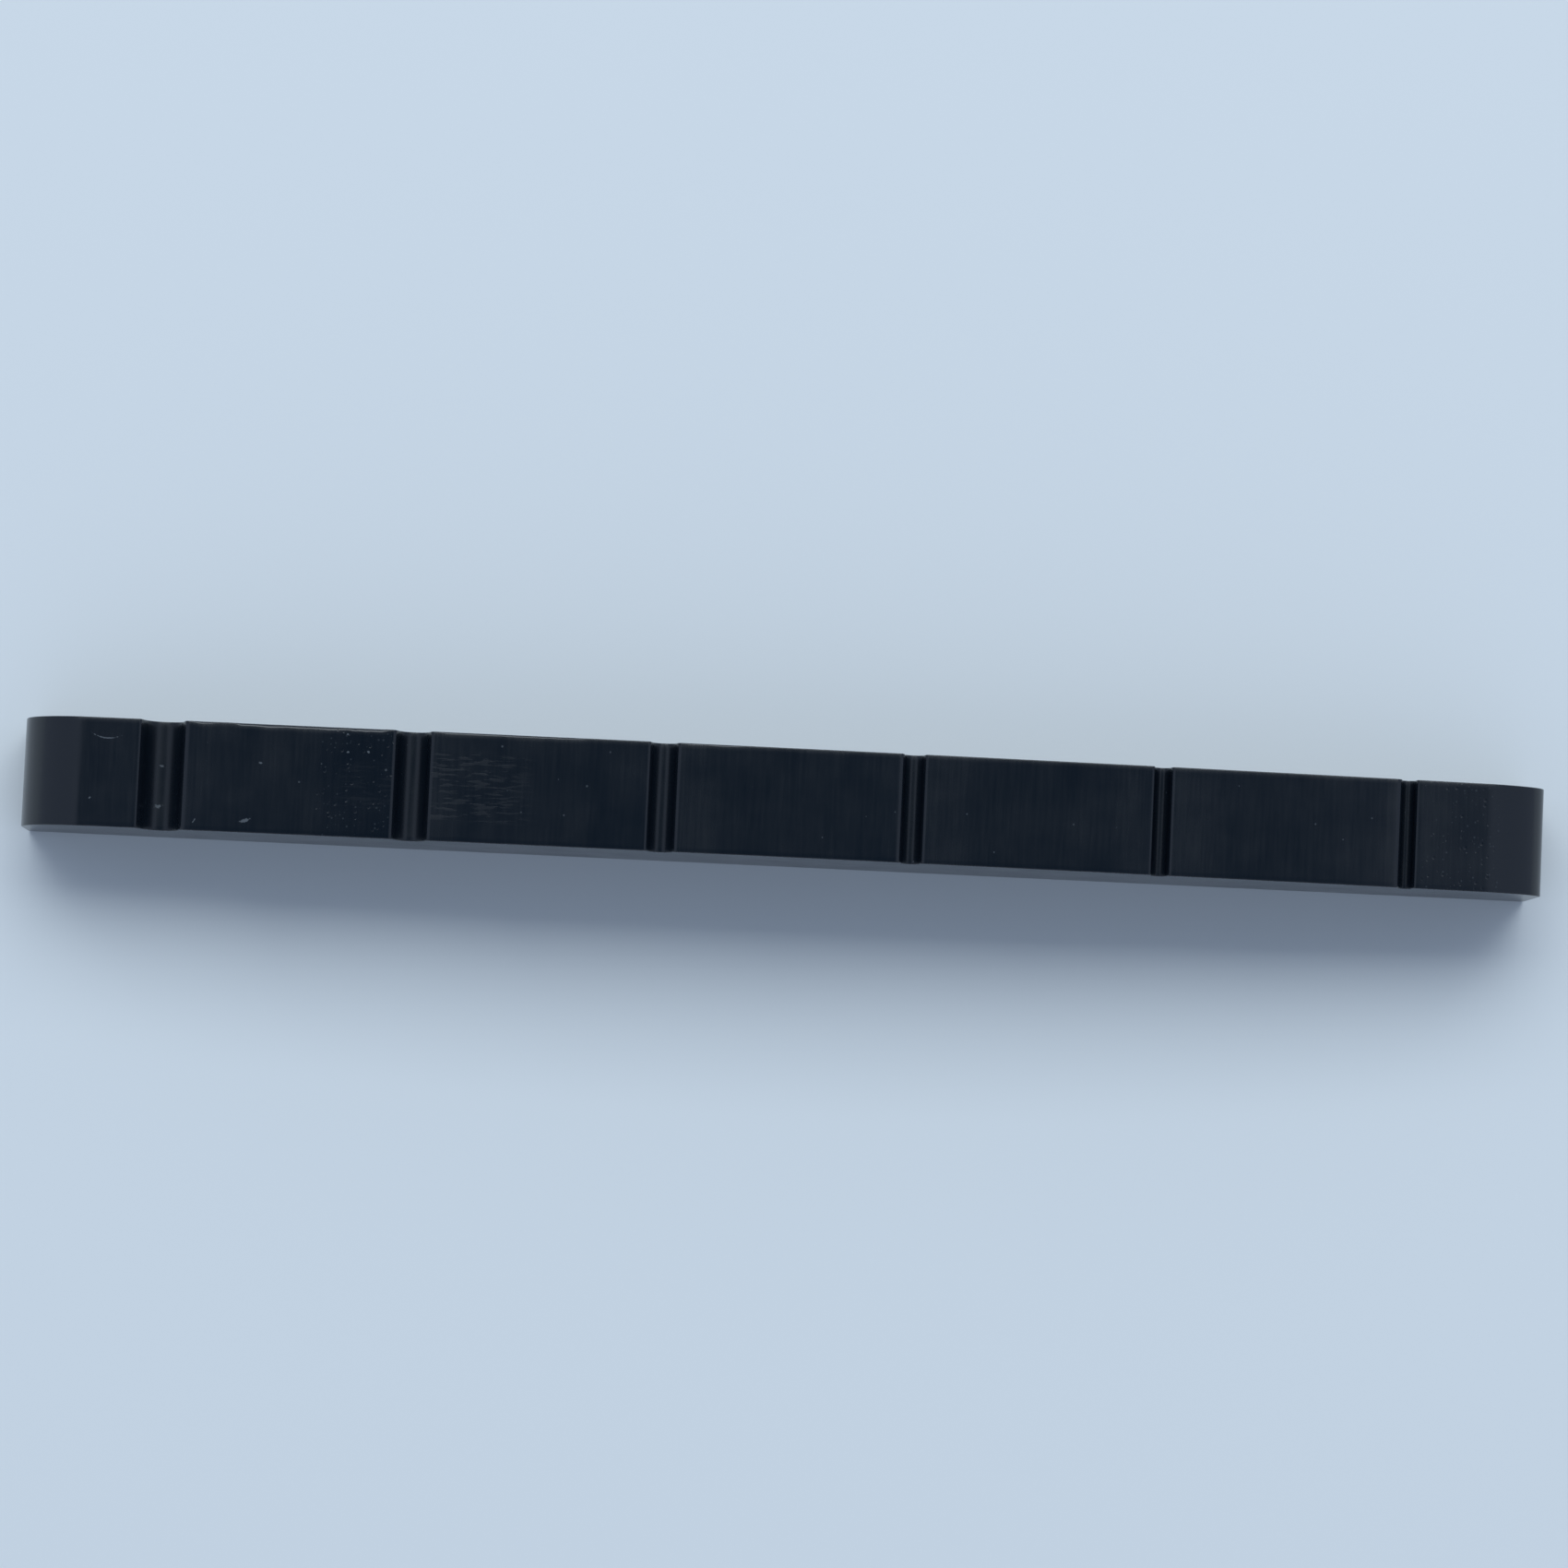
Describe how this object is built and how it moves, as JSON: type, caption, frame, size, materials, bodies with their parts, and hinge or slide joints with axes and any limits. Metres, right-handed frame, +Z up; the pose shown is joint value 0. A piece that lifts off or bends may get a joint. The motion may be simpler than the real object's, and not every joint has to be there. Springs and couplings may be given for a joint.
{
  "type": "guitar string nut",
  "caption": "Slim crowned bar of black plastic with rounded ends and graded round-bottomed slots across its top, which space and hold guitar strings at the head of the neck.",
  "frame": {"origin": "middle of the flat seat that stands on the bottom of the neck's nut slot", "axes": "+X along the bar from the bass end to the treble end, +Y across it towards the headstock, +Z up from the seat to the strings"},
  "size_m": [0.0428, 0.003, 0.0047],
  "materials": {
    "black_plastic": "black moulded plastic: satin, finely machined top and slots, smoother faces and ends"
  },
  "bodies": {
    "root": {"string_nut": "black_plastic"}
  },
  "joints": []
}
